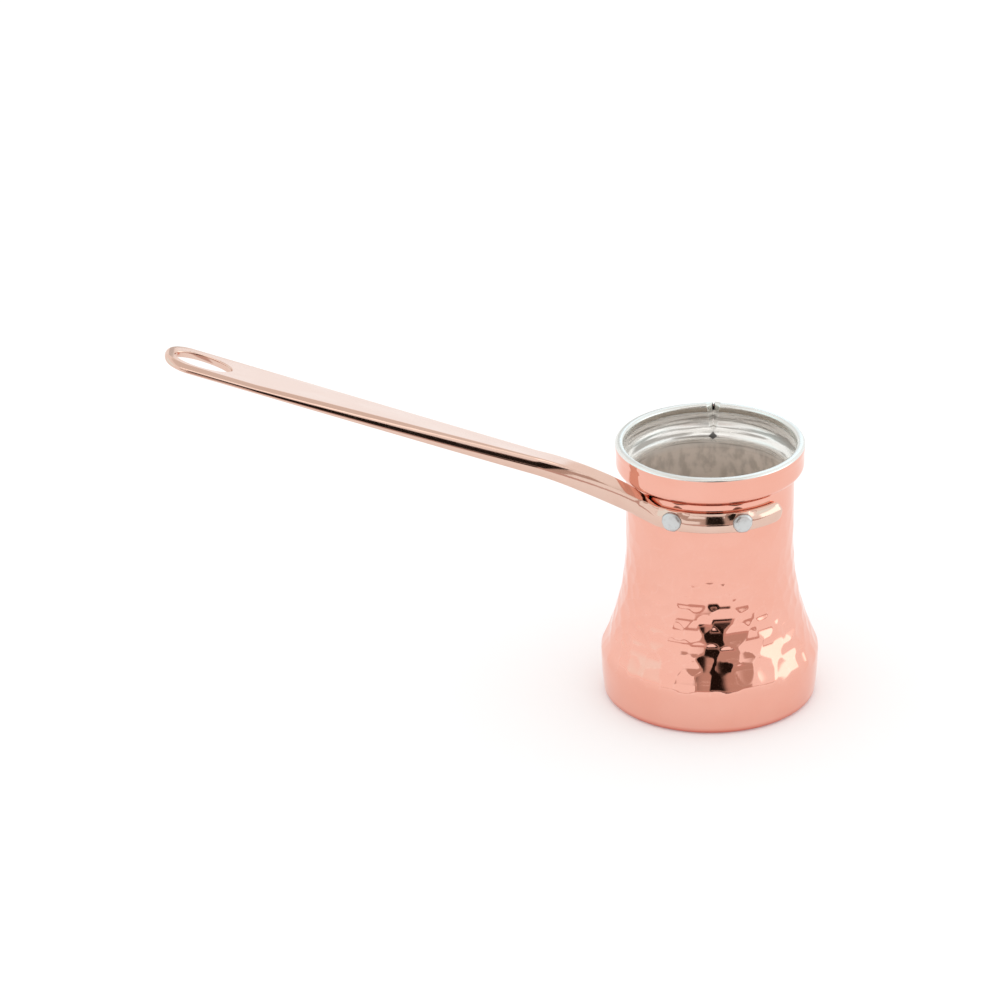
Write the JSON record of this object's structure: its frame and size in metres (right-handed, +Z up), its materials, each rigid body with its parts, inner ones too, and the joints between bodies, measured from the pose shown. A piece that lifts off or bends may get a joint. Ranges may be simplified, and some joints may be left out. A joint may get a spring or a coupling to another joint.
{
  "type": "long-handled coffee pot",
  "caption": "Small tinned copper coffee pot with a bell-shaped belly, a pinched spout and a long riveted bar handle with a hanging slot.",
  "frame": {"origin": "centre of the pot's flat underside", "axes": "+Z up along the pot's axis; the handle runs along -X and upwards; the riveted strap faces -Y and the spout faces +Y, turned a few degrees towards +X"},
  "size_m": [0.2235, 0.076, 0.1348],
  "materials": {
    "copper": "hammered and polished copper, smooth collar and base band",
    "tin": "hand-wiped bright tin",
    "bronze": "polished pinkish bronze",
    "rivet_metal": "satin tinned rivet"
  },
  "bodies": {
    "root": {"pot_body": "copper", "tin_lining": "tin", "handle": "bronze", "left_rivet": "rivet_metal", "right_rivet": "rivet_metal"}
  },
  "joints": []
}
